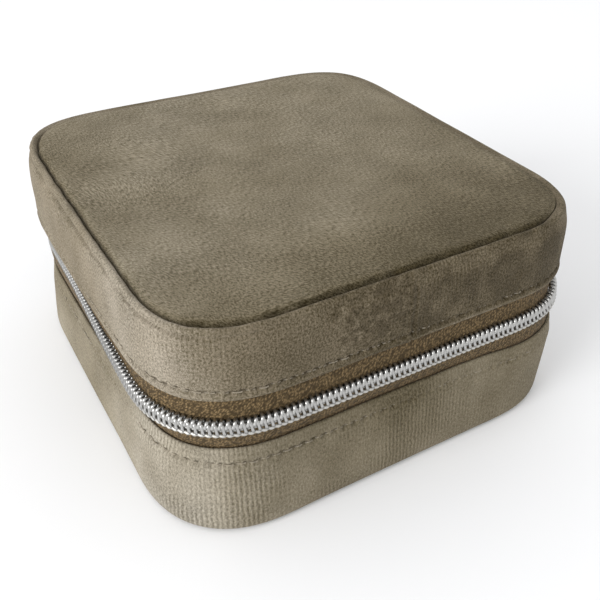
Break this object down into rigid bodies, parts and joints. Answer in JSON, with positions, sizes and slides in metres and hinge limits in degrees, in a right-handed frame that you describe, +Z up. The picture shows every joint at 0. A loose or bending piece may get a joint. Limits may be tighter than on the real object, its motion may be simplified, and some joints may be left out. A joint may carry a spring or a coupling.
{
  "type": "travel jewelry case",
  "caption": "Square velvet travel jewelry case with rounded corners, a zip round three sides, a mirror lid, ring rolls and lift-out dividers.",
  "frame": {"origin": "centre of the underside, where the closed case rests", "axes": "+Z up through the lid, +Y from the front to the hinge at the back, +X to the wall that carries the zip slider"},
  "size_m": [0.107, 0.1072, 0.0515],
  "materials": {
    "velvet_outer": "matte",
    "velvet_lining": "matte",
    "greyboard": "matte",
    "foam": "matte",
    "zip_tape": "matte",
    "zip_coil": "gloss",
    "zip_metal": "gloss",
    "mirror_frame": "satin",
    "mirror": "polished"
  },
  "bodies": {
    "case_base": {"base_bottom_panel": "velvet_outer", "base_floor_board": "greyboard", "base_wall_board": "greyboard", "base_side_band": "velvet_outer", "base_lining_floor": "velvet_lining", "base_lining_wall": "velvet_lining", "ring_bed": "velvet_lining", "ring_roll_1": "velvet_lining", "ring_roll_2": "velvet_lining", "ring_roll_3": "velvet_lining", "ring_roll_4": "velvet_lining", "main_divider": "velvet_lining", "rear_guide_1": "velvet_lining", "rear_guide_2": "velvet_lining", "lower_zip_tape": "zip_tape", "lower_zip_coil": "zip_coil", "zip_stop_right_lower": "zip_metal", "zip_stop_left_lower": "zip_metal", "hinge_strip_lower": "velvet_outer"},
    "lid": {"lid_side_band": "velvet_outer", "lid_edge_roll": "velvet_outer", "lid_top_panel": "velvet_outer", "lid_wall_board": "greyboard", "lid_top_board": "greyboard", "lid_top_foam": "foam", "lid_lining_wall": "velvet_lining", "mirror_backing": "velvet_lining", "mirror_frame": "mirror_frame", "mirror_glass": "mirror", "upper_zip_tape": "zip_tape", "upper_zip_coil": "zip_coil", "zip_stop_right_upper": "zip_metal", "zip_stop_left_upper": "zip_metal", "hinge_strip_upper": "velvet_outer"},
    "zip_slider": {"zip_slider": "zip_metal"},
    "zip_pull": {"zip_pull": "zip_metal"},
    "divider_left": {"lift_out_divider_1": "velvet_lining"},
    "divider_right": {"lift_out_divider_2": "velvet_lining"}
  },
  "joints": [
    {"name": "lid_hinge", "type": "hinge", "parent": "case_base", "child": "lid", "pos_m": [0, 0.05025, 0.02935], "axis": [-1, 0, 0], "range_deg": [0, 110]},
    {"name": "zip_slide", "type": "slide", "parent": "case_base", "child": "zip_slider", "axis": [0, -1, 0], "range_m": [0, 0.042]},
    {"name": "pull_swing", "type": "hinge", "parent": "zip_slider", "child": "zip_pull", "pos_m": [0.0537, 0.02, 0.02935], "axis": [0, 0, 1], "range_deg": [0, 170]},
    {"name": "left_divider_lift", "type": "slide", "parent": "case_base", "child": "divider_left", "axis": [0, 0, 1], "range_m": [0, 0.012]},
    {"name": "right_divider_lift", "type": "slide", "parent": "case_base", "child": "divider_right", "axis": [0, 0, 1], "range_m": [0, 0.012]}
  ]
}
